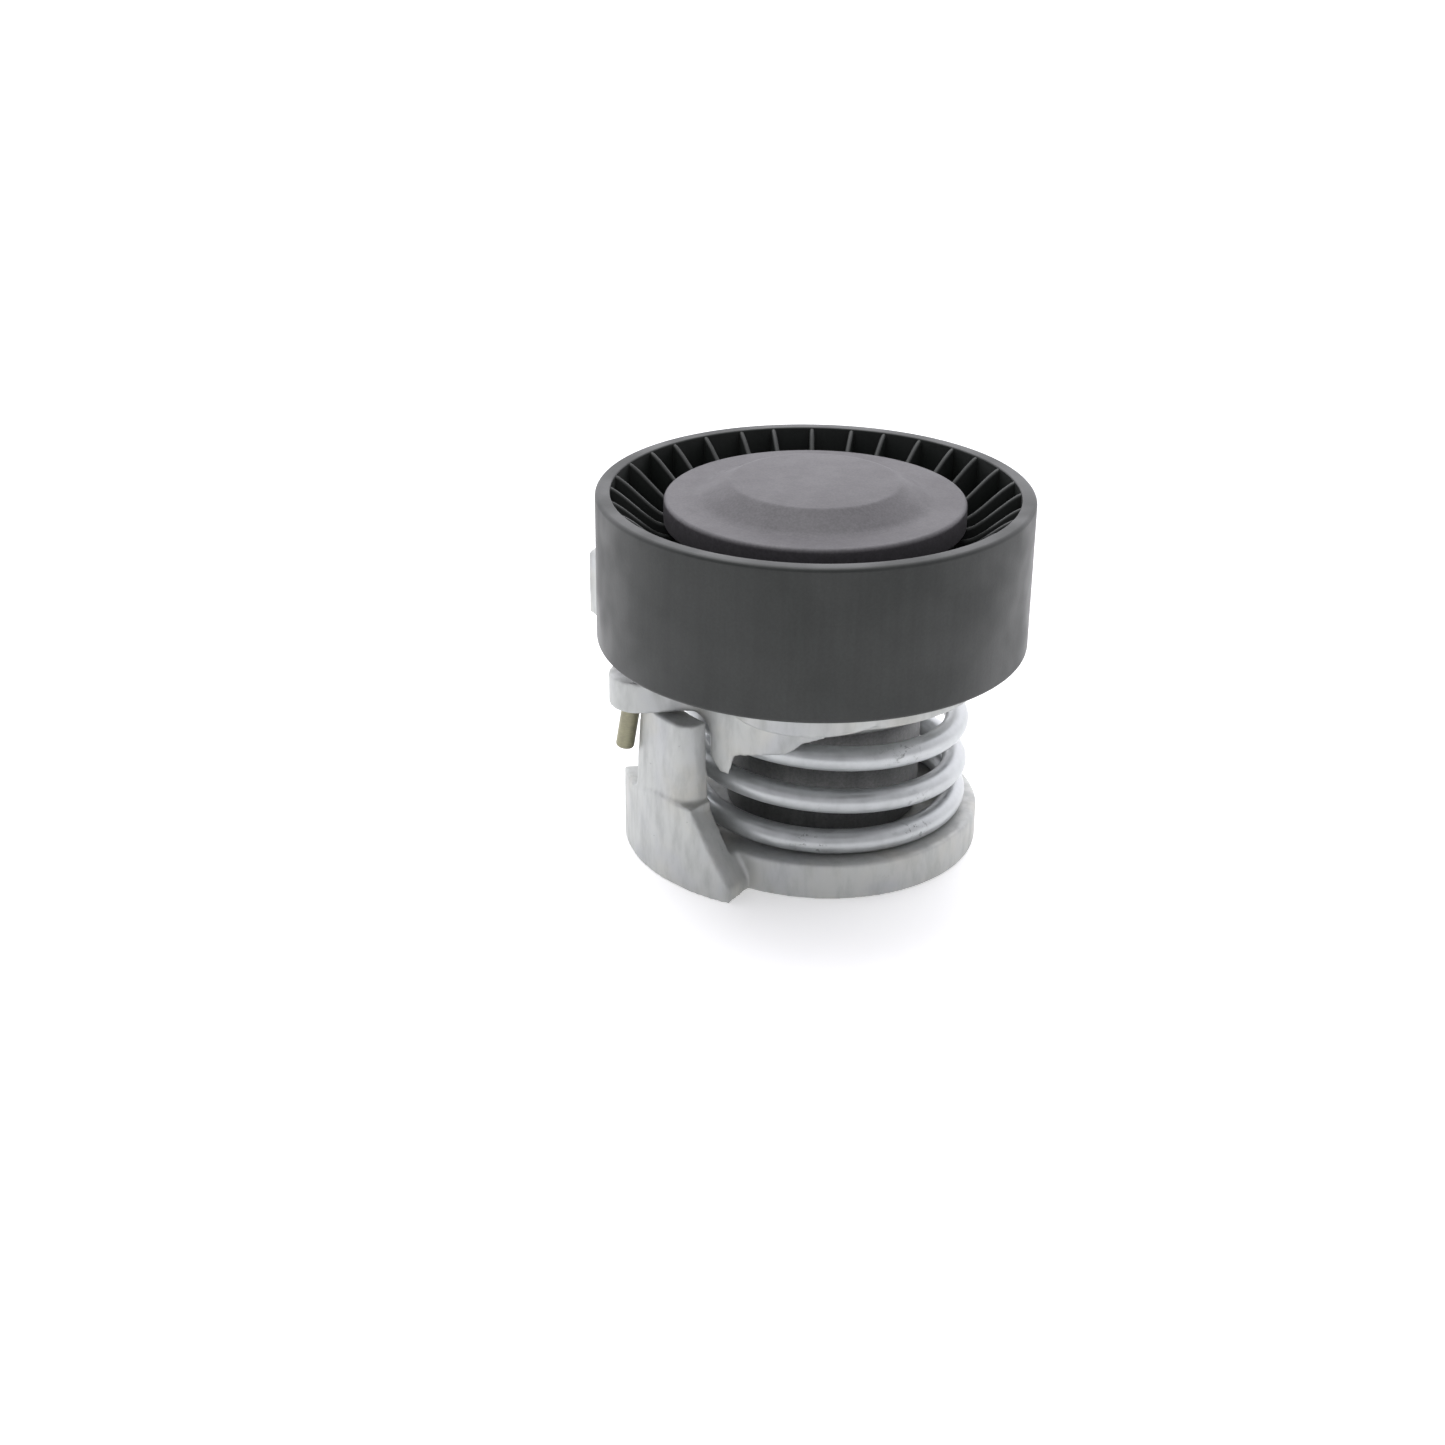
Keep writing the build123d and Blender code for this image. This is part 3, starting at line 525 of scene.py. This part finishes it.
@dataclass
class IdlerPulley:
    """Moulded pulley with its ribs, and the cap clipped on its hub."""

    rim_wall: float = 2.42
    edge_round: float = 0.7
    hub_radius: float = 22.75
    bearing_radius: float = 20.0
    hub_bottom: float = 3.8          # above the pulley's lower face
    hub_top: float = 21.0
    lip: float = 1.2
    web: tuple[float, float] = (9.5, 12.5)    # its two faces, above the pulley's lower face
    seat: tuple[float, float] = (5.0, 17.0)   # ends of the bearing's seat, likewise
    retaining_lip: float = 1.0       # thickness of the lip over the bearing
    rib_count: int = 32
    rib_thickness: float = 0.9
    rib_phase: float = -1.1
    rib_offsets: tuple[float, ...] = (0.0, 0.45, -0.75)  # degrees from even spacing, in turn
    # Crest as (distance in from the rim's bore, drop below the rim's face).
    rib_top: tuple[tuple[float, float], ...] = ((0.0, 0.1), (1.7, 1.25), (3.4, 2.7), (5.6, 4.6),
                                                (7.3, 5.85), (11.1, 7.0))
    rib_underside: float = 1.0       # above the pulley's lower face at the rim
    rib_underside_rise: float = 0.28  # per millimetre inwards, over the first 10 mm
    rib_steps: int = 22
    cap_radius: float = 24.3
    cap_drop: float = 1.14           # cap's rim below the pulley's upper face
    dome_radius: float = 13.6
    dome_foot: float = 18.6
    dome_height: float = 2.75
    cap_wall: float = 1.5
    cap_grip: float = 1.2            # reach of the cap's skirt down over the hub

    def __post_init__(self) -> None:
        """Reads the pulley's place and overall size from the frame."""
        low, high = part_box("pulley_body")
        self.centre = axis_of("pulley_body")
        self.radius = (high[0] - low[0]) * 500
        self.bottom, self.top = low[2] * 1000, high[2] * 1000

    def shell(self) -> tuple[Array, Array]:
        """Rim, web and hub as one revolved section."""
        r, bore = self.radius, self.radius - self.rim_wall
        web_low, web_high = self.bottom + self.web[0], self.bottom + self.web[1]
        hub_low, hub_high = self.bottom + self.hub_bottom, self.bottom + self.hub_top
        seat_low, seat_high = self.bottom + self.seat[0], self.bottom + self.seat[1]
        top_lip = seat_high + self.retaining_lip
        e, lip = self.edge_round, self.bearing_radius - self.lip
        section = [(lip, hub_low, 0.3), (self.hub_radius, hub_low, 0.4),
                   (self.hub_radius, web_low, 0.8), (bore, web_low, 0.8),
                   (bore - 0.15, self.bottom, 0.3), (r, self.bottom, e),
                   (r, self.top, e), (bore, self.top, 0.25), (bore, web_high, 0.8),
                   (self.hub_radius, web_high, 0.8), (self.hub_radius, hub_high, 0.5),
                   (self.bearing_radius + 0.1, hub_high, 0.3),
                   (self.bearing_radius, top_lip, 0.2),
                   (lip, top_lip, 0.2), (lip, seat_high, 0.0),
                   (self.bearing_radius, seat_high, 0.0), (self.bearing_radius, seat_low, 0.0),
                   (lip, seat_low, 0.0)]
        return lathe(rounded(section), self.centre, 256)

    def rib(self) -> Array:
        """Cross-sections of one rib along its length.

        At each step from rim to hub the section is a thin upright plate whose crest is a
        half-round: sideways = t/2 * cos(u), height = crest + t/2 * sin(u).

        Returns:
            (steps, section, 3) array with the rib running along +X from the axis.
        """
        bore = self.radius - self.rim_wall
        inward = np.array([p[0] for p in self.rib_top])
        drop = np.array([p[1] for p in self.rib_top])
        reach = self.radius - self.rim_wall - self.hub_radius + 0.4
        along = np.concatenate([[-0.8], np.linspace(0, reach, self.rib_steps)])
        crest = self.top - np.interp(along, inward, drop)
        soften = np.convolve(np.pad(crest, 1, mode="edge"), [0.25, 0.5, 0.25], "valid")
        crest[1:] = soften[1:]
        half = self.rib_thickness / 2
        turn = np.linspace(0, np.pi, 7)
        climb = np.interp(along, [0, 10], [0, 10 * self.rib_underside_rise])
        foot = self.bottom + self.rib_underside + climb
        side = np.concatenate([half * np.cos(turn), -half * np.cos(turn)])
        upper = crest[:, None] - half + half * np.sin(turn)[None]
        lower = foot[:, None] + half - half * np.sin(turn)[None]
        height = np.concatenate([upper, lower], 1)
        x = np.broadcast_to((bore - along)[:, None], height.shape)
        y = np.broadcast_to(side[None], height.shape)
        return np.stack([x, y, height], 2)

    def ribs(self) -> list[tuple[Array, Array]]:
        """Every rib, turned to its place round the axis."""
        plate = self.rib()
        steps, around = plate.shape[:2]
        sides = grid_faces(steps, around, False, True)[:, ::-1]
        made = []
        flat = plate.reshape(-1, 3)
        for index in range(self.rib_count):
            offset = self.rib_offsets[(index - 2) % len(self.rib_offsets)]
            angle = math.radians(self.rib_phase + 360 * index / self.rib_count + offset)
            x = flat[:, 0] * np.cos(angle) - flat[:, 1] * np.sin(angle) + self.centre[0]
            y = flat[:, 0] * np.sin(angle) + flat[:, 1] * np.cos(angle) + self.centre[1]
            made.append((np.stack([x, y, flat[:, 2]], 1), sides))
        return made

    def cap(self) -> tuple[Array, Array]:
        """Dust cap: raised flat centre, soft cone, flat margin and a clip skirt."""
        edge = self.top - self.cap_drop
        dome = edge + self.dome_height
        under = edge - self.cap_wall
        skirt = self.bottom + self.hub_top - self.cap_grip
        inner = self.hub_radius
        section = [(0.02, dome, 0.0), (0.02, dome - self.cap_wall, 0.0),
                   (self.dome_radius - 1.5, dome - self.cap_wall, 1.5),
                   (self.dome_foot - 1.0, under, 1.5),
                   (inner, under, 0.3), (inner, skirt, 0.0), (self.cap_radius, skirt, 0.3),
                   (self.cap_radius, edge, 0.7), (self.dome_foot, edge, 4.0),
                   (self.dome_radius, dome, 1.6)]
        return lathe(rounded(section, 8.0), self.centre, 256)

    def build(self) -> None:
        """Makes the pulley and the cap and puts them on the turning body."""
        body = mesh_object("idler_pulley", *join([self.shell(), *self.ribs()]), Finish.PULLEY, 40)
        cap = mesh_object("dust_cap_shell", *self.cap(), Finish.CAP, 50)
        for piece, node, slot in ((body, "pulley_body", "pulley_polymer"),
                                  (cap, "dust_cap", "cap_polymer")):
            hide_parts(node)
            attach(piece, "pulley")
            LOG.info("%s: %d faces", piece.name, len(piece.data.polygons))


# ---- spring ----------------------------------------------------------------------------------------

@dataclass
class TorsionSpring:
    """Left-hand spring: flat end coil on the base, climbing coils, both ends turned over."""

    wire: float = 4.2
    mean_radius: float = 23.2
    pitch: float = 7.9
    rest_start: float = 410.0        # degrees; the wire's foot
    rest_end: float = 270.0          # degrees; the wire climbs from here on
    turns: float = 2.5
    tang: float = 7.0
    coil_seat: float = 6.75          # foot coil's underside above the base's lower face
    bend_ratio: float = 0.55         # radius of each tang's bend, in wire diameters
    tip_chamfer: float = 0.45
    ease: float = 35.0               # degrees over which the climb begins
    # Rubbed places as (angle in degrees, height, spread in degrees).
    rub_places: tuple[tuple[float, float, float], ...] = ((300.0, 27.5, 9.0), (263.0, 10.5, 6.0),
                                                          (307.0, 11.5, 7.0))
    sides: int = 28
    steps: int = 420

    def __post_init__(self) -> None:
        """Reads the spring's foot and head from the frame."""
        low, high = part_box("torsion_spring")
        self.foot, self.head = low[2] * 1000, high[2] * 1000
        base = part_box("base_casting")[0][2] * 1000
        self.lowest = base + self.coil_seat + self.wire / 2

    def centre_line(self) -> Array:
        """Path of the wire's centre.

        The angle falls steadily; height is level to rest_end and then climbs one pitch a turn,
        eased in over a short arc as (past + ease)^2 / (4 ease).  Quarter-circle bends lead into
        the tangs.

        Returns:
            (n, 3) array.
        """
        end = self.rest_end - 360 * self.turns
        angle = np.radians(np.linspace(self.rest_start, end, self.steps))
        past = np.clip(math.radians(self.rest_end) - angle, -math.radians(self.ease), None)
        ease = math.radians(self.ease)
        eased = np.where(past < ease, (past + ease) ** 2 / (4 * ease), past)
        height = self.lowest + self.pitch * eased / (2 * np.pi)
        coil = np.stack([self.mean_radius * np.cos(angle), self.mean_radius * np.sin(angle),
                         height], 1)
        bend = self.wire * self.bend_ratio
        first = self.turned_end(coil[0], coil[0] - coil[1], -1.0, bend, coil[0][2] - self.foot)
        last = self.turned_end(coil[-1], coil[-1] - coil[-2], 1.0, bend, self.head - coil[-1][2])
        return np.concatenate([first[::-1], coil[4:-4], last])

    def turned_end(self, tip: Array, along: Array, way: float, bend: float,
                   reach: float) -> Array:
        """Bend and straight tang at one end of the coil.

        Args:
            tip: end of the coil.
            along: direction in which the coil runs out.
            way: 1 for a tang that points up, -1 for one that points down.
            bend: radius of the bend.
            reach: height of the tang's end from the coil.

        Returns:
            (n, 3) array, from the coil outwards.
        """
        flat = np.array([along[0], along[1], 0.0])
        flat /= np.linalg.norm(flat)
        turn = np.linspace(0, np.pi / 2, 9)
        sideways = bend * np.sin(turn) - bend
        rise = bend * (1 - np.cos(turn))
        arc = tip + sideways[:, None] * flat + way * rise[:, None] * np.array([0, 0, 1.0])
        tops = np.linspace(bend, reach, 5)[1:]
        straight = tip + way * tops[:, None] * np.array([0, 0, 1.0])
        return np.concatenate([arc, straight])

    def tube(self) -> tuple[Array, list, Array]:
        """Round wire along the centre line.

        Each section is centre + r*(cos(v)*out + sin(v)*side), with out and side square to the
        path, and each end is closed by a narrower last ring and a flat cap.

        Returns:
            Points, faces and the angle v of each point.
        """
        path = self.centre_line()
        tangent = np.gradient(path, axis=0)
        tangent /= np.linalg.norm(tangent, axis=1)[:, None]
        outward = path * [1, 1, 0]
        outward -= (outward * tangent).sum(1)[:, None] * tangent
        outward /= np.linalg.norm(outward, axis=1)[:, None]
        side = np.cross(tangent, outward)
        around = np.linspace(0, 2 * np.pi, self.sides, endpoint=False)
        radius = np.full(len(path), self.wire / 2)
        radius[[0, -1]] -= self.tip_chamfer
        spoke = (np.cos(around)[None, :, None] * outward[:, None]
                 + np.sin(around)[None, :, None] * side[:, None])
        points = (path[:, None] + radius[:, None, None] * spoke).reshape(-1, 3)
        faces = grid_faces(len(path), self.sides, False, True).tolist()
        last = (len(path) - 1) * self.sides
        faces.append(list(range(self.sides))[::-1])
        faces.append([last + k for k in range(self.sides)])
        return points, faces, np.tile(around, len(path))

    def rubbed(self, points: Array, around: Array) -> Array:
        """How far each point has been rubbed bare.

        Each rubbed place fades as exp(-(da / spread)^2 - (dz / wire)^2) with the angle da and the
        height dz from it, and only on the side of the wire that faces away from the pivot.
        """
        angle = np.degrees(np.arctan2(points[:, 1], points[:, 0])) % 360
        amount = np.zeros(len(points))
        for spot, height, spread in self.rub_places:
            rise = (points[:, 2] - height) / self.wire
            amount += np.exp(-((angle - spot) / spread) ** 2 - rise ** 2)
        return np.clip(amount, 0, 1) * np.clip(np.cos(around), 0, 1)

    def build(self) -> None:
        """Makes the spring in place of the CAD one; it is put on no body."""
        points, faces, around = self.tube()
        piece = mesh_object("coil_spring", points, faces, Finish.WIRE, 50)
        rub = self.rubbed(points, around)
        layer = piece.data.attributes.new("rub", "FLOAT", "POINT")
        layer.data.foreach_set("value", rub.astype(np.float32))
        outward_faces(piece)
        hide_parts("torsion_spring")
        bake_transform(piece)
        LOG.info("%s: %d faces", piece.name, len(piece.data.polygons))


def outward_faces(piece: bpy.types.Object) -> None:
    """Turns every face of a closed piece to point outwards."""
    work = bmesh.new()
    work.from_mesh(piece.data)
    bmesh.ops.recalc_face_normals(work, faces=work.faces)
    work.to_mesh(piece.data)
    work.free()


# ---- castings --------------------------------------------------------------------------------------

@dataclass
class Casting:
    """A die casting: the CAD solid re-skinned on a fine grid, so that its edges get cast radii."""

    node: str
    body: str
    name: str
    voxel: float = 0.36
    smoothing: int = 3
    skin: float = 0.035              # depth of the cast skin's unevenness
    waves: tuple[tuple[float, float, float], ...] = ((1.0, 0.6, 0.3), (-0.4, 1.0, 0.7),
                                                     (0.5, -0.7, 1.0))
    wave_lengths: tuple[float, ...] = (5.0, 3.1, 2.2)
    wave_phases: tuple[float, ...] = (0.3, 1.7, 4.1)

    def build(self) -> bpy.types.Object:
        """Makes the casting and puts it on its body."""
        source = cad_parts[self.node]
        piece = bpy.data.objects.new(self.name, source.data.copy())
        bpy.context.scene.collection.objects.link(piece)
        weld(piece)
        remesh = piece.modifiers.new("skin", "REMESH")
        remesh.mode = "VOXEL"
        remesh.voxel_size = metres(self.voxel)
        remesh.use_smooth_shade = True
        relax = piece.modifiers.new("radii", "SMOOTH")
        relax.factor = 0.5
        relax.iterations = self.smoothing
        apply_modifiers(piece)
        self.uneven(piece)
        piece.data.materials.clear()
        piece.data.materials.append(Finish.CASTING.material())
        piece.data.shade_smooth()
        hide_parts(self.node)
        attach(piece, self.body)
        LOG.info("%s: %d faces", piece.name, len(piece.data.polygons))
        return piece

    def uneven(self, piece: bpy.types.Object) -> None:
        """Moves every point inwards along its normal by a smooth sum of three sine waves.

        The depth is skin * (0.5 + mean of sin(k.p + phase) / 2), with each wave vector k along
        one of the waves, so that the skin never stands proud of the CAD solid.
        """
        mesh = piece.data
        count = len(mesh.vertices)
        places = np.empty(count * 3, np.float32)
        mesh.vertices.foreach_get("co", places)
        places = places.reshape(-1, 3)
        normals = np.empty(count * 3, np.float32)
        mesh.vertex_normals.foreach_get("vector", normals)
        normals = normals.reshape(-1, 3)
        waves, lengths = np.array(self.waves), np.array(self.wave_lengths)
        phase = (places * 1000) @ (waves.T * 2 * np.pi / lengths) + np.array(self.wave_phases)
        depth = metres(self.skin) * (0.5 + np.sin(phase).mean(1) / 2)
        places -= normals * depth[:, None].astype(np.float32)
        mesh.vertices.foreach_set("co", places.ravel())
        mesh.update()


def weld(piece: bpy.types.Object) -> None:
    """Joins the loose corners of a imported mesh."""
    work = bmesh.new()
    work.from_mesh(piece.data)
    bmesh.ops.remove_doubles(work, verts=work.verts, dist=1e-6)
    work.to_mesh(piece.data)
    work.free()


def apply_modifiers(piece: bpy.types.Object) -> None:
    """Bakes the modifier stack into the mesh."""
    graph = bpy.context.evaluated_depsgraph_get()
    finished = bpy.data.meshes.new_from_object(piece.evaluated_get(graph))
    piece.modifiers.clear()
    piece.data = finished


# ---- small pieces -----------------------------------------------------------------------------------

@dataclass
class GuideSleeve:
    """Grey sleeve inside the coils, with rounded edges and an inner foot flange."""

    wall: float = 1.5
    hub_radius: float = 12.0

    def build(self) -> None:
        """Makes the sleeve and puts it on the base."""
        low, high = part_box("spring_guide_sleeve")
        radius = (high[0] - low[0]) * 500
        bottom, top = low[2] * 1000, high[2] * 1000
        inner = radius - self.wall
        flange = bottom + self.wall
        section = [(self.hub_radius, bottom, 0.0), (radius, bottom, 0.4), (radius, top, 0.5),
                   (inner, top, 0.4), (inner, flange, 0.5), (self.hub_radius, flange, 0.0)]
        surface = lathe(rounded(section), np.zeros(2), 192)
        piece = mesh_object("guide_sleeve", *surface, Finish.SLEEVE, 40)
        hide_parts("spring_guide_sleeve")
        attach(piece, "base")
        LOG.info("%s: %d faces", piece.name, len(piece.data.polygons))


class Internals:
    """Pieces that keep their CAD shape and get their own finish."""

    finishes: dict[str, Finish] = {
        "pivot_shaft": Finish.STEEL, "shaft_retainer": Finish.STEEL,
        "lower_thrust_washer": Finish.LINING, "upper_thrust_washer": Finish.LINING,
        "damping_ring": Finish.LINING, "pivot_bush": Finish.BRONZE, "stop_pin": Finish.PIN,
        "pulley_bolt": Finish.BOLT, "bolt_washer": Finish.BOLT, "rear_dust_shield": Finish.STEEL,
        "bearing_inner_ring": Finish.BEARING, "bearing_outer_ring": Finish.BEARING,
        "bearing_balls": Finish.BEARING, "bearing_cage": Finish.LINING,
        "lower_bearing_seal": Finish.RUBBER, "upper_bearing_seal": Finish.RUBBER,
    }

    def dress(self) -> None:
        """Gives each piece its finish."""
        for name, finish in self.finishes.items():
            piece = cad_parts[name]
            piece.data.materials.clear()
            piece.data.materials.append(finish.material())
            LOG.info("%s: %s", name, finish.value.name)


# ---- studio -----------------------------------------------------------------------------------------

@dataclass
class Studio:
    """White table, white surroundings, one soft lamp and the camera."""

    camera_place: tuple[float, float, float] = (-19.39, -356.74, 186.78)
    camera_heading: float = 0.2375   # degrees from +Y towards +X
    camera_dip: float = 25.027       # degrees below level
    camera_roll: float = 0.5616      # degrees
    lens: float = 55.53
    sensor: float = 36.0
    front: float = 0.38              # strength of the light from in front ...
    back: float = 2.0                # ... from behind ...
    overhead: float = 0.45           # ... and added from above
    tone: str = "#fbfaff"
    glow: float = 0.35               # light that the table gives back of itself
    table_half: float = 12000.0
    table_drop: float = 0.02         # table top below the base's lower face
    softbox_place: tuple[float, float, float] = (-60, 60, 520)
    softbox_aim: tuple[float, float, float] = (0, 0, 40)
    softbox_size: float = 420
    softbox_watts: float = 1.2

    def camera(self) -> None:
        """Places the camera: look direction from heading and dip, then the roll."""
        heading, dip = math.radians(self.camera_heading), math.radians(self.camera_dip)
        roll = math.radians(self.camera_roll)
        ahead = Vector((math.sin(heading) * math.cos(dip), math.cos(heading) * math.cos(dip),
                        -math.sin(dip)))
        right = Vector((math.cos(heading), -math.sin(heading), 0))
        up = right.cross(ahead)
        tilted_right = right * math.cos(roll) + up * math.sin(roll)
        tilted_up = tilted_right.cross(ahead)
        turn = Matrix((tilted_right, tilted_up, -ahead)).transposed().to_4x4()
        data = bpy.data.cameras.new("camera")
        data.lens, data.sensor_width = self.lens, self.sensor
        data.clip_start, data.clip_end = 0.01, 100.0
        camera = bpy.data.objects.new("camera", data)
        camera.matrix_world = Matrix.Translation(Vector(metres(self.camera_place))) @ turn
        bpy.context.scene.collection.objects.link(camera)
        bpy.context.scene.camera = camera

    def floor(self) -> None:
        """Large pale table top under the base."""
        half, level = self.table_half, -self.table_drop
        points = np.array([[-half, -half, level], [half, -half, level],
                           [half, half, level], [-half, half, level]])
        mesh = bpy.data.meshes.new("table_top")
        mesh.from_pydata(metres(points), [], [(0, 1, 2, 3)])
        table = bpy.data.objects.new("table_top", mesh)
        bpy.context.scene.collection.objects.link(table)
        material, tree, shader, place = new_material("matt_white_laminate")
        cloud = noise(tree, place, 120.0, 2.0)
        colour = ramp(tree, cloud, ((0.3, "#eeeeee"), (0.7, "#f2f2f2")))
        plug(tree, shader, Base_Color=colour, Roughness=0.8,
             Emission_Color=linear("#ffffff"), Emission_Strength=self.glow)
        mesh.materials.append(material)

    def lamp(self, name: str, place: tuple[float, float, float], aim: tuple[float, float, float],
             size: float, watts: float) -> None:
        """Square soft lamp aimed at a point; sizes in millimetres."""
        data = bpy.data.lights.new(name, "AREA")
        data.size, data.energy = metres(size), watts
        lamp = bpy.data.objects.new(name, data)
        lamp.location = Vector(metres(place))
        lamp.rotation_euler = (Vector(aim) - Vector(place)).to_track_quat("-Z", "Y").to_euler()
        bpy.context.scene.collection.objects.link(lamp)

    def build(self) -> None:
        """Sets up camera, floor, surroundings and lamp."""
        self.camera()
        self.floor()
        self.tent()
        self.lamp("top_softbox", self.softbox_place, self.softbox_aim, self.softbox_size,
                  self.softbox_watts)
        bpy.context.scene.view_settings.view_transform = "Standard"

    def tent(self) -> None:
        """White surroundings: bright behind and above, dimmer in front.

        With d the direction of a ray, the light is front + (back - front) * smooth(d.y) and is
        topped up with overhead * max(d.z, 0); what the camera sees directly is plain white.
        """
        world = bpy.data.worlds.new("white_tent")
        world.use_nodes = True
        tree = world.node_tree
        tree.nodes.clear()
        way = add_node(tree, "SeparateXYZ", None, {0: add_node(tree, "TexCoord").outputs["Generated"]})
        behind = add_node(tree, "MapRange", {"interpolation_type": "SMOOTHSTEP"}, {
            "Value": way.outputs[1], "From Min": -0.5, "From Max": 0.95,
            "To Min": self.front, "To Max": self.back}).outputs[0]
        above = remap(tree, way.outputs[2], (0.0, 1.0), (0.0, self.overhead))
        total = add_node(tree, "Math", {"operation": "ADD"}, {0: behind, 1: above}).outputs[0]
        seen = add_node(tree, "LightPath").outputs["Is Camera Ray"]
        tone = mix_colour(tree, seen, linear(self.tone), linear("#ffffff"))
        strength = add_node(tree, "Mix", {"data_type": "FLOAT"}, {0: seen, 2: total, 3: 1.0}).outputs[0]
        light = add_node(tree, "Background", None, {"Color": tone, "Strength": strength})
        add_node(tree, "OutputWorld", None, {"Surface": light.outputs[0]})
        bpy.context.scene.world = world


def main() -> None:
    """Builds every sub-assembly in order."""
    logging.basicConfig(level=logging.INFO, format="%(message)s")
    Studio().build()
    Casting("base_casting", "base", "base_housing").build()
    Casting("arm_casting", "arm", "swing_arm").build()
    GuideSleeve().build()
    TorsionSpring().build()
    IdlerPulley().build()
    Internals().dress()


if __name__ == "__main__":
    main()
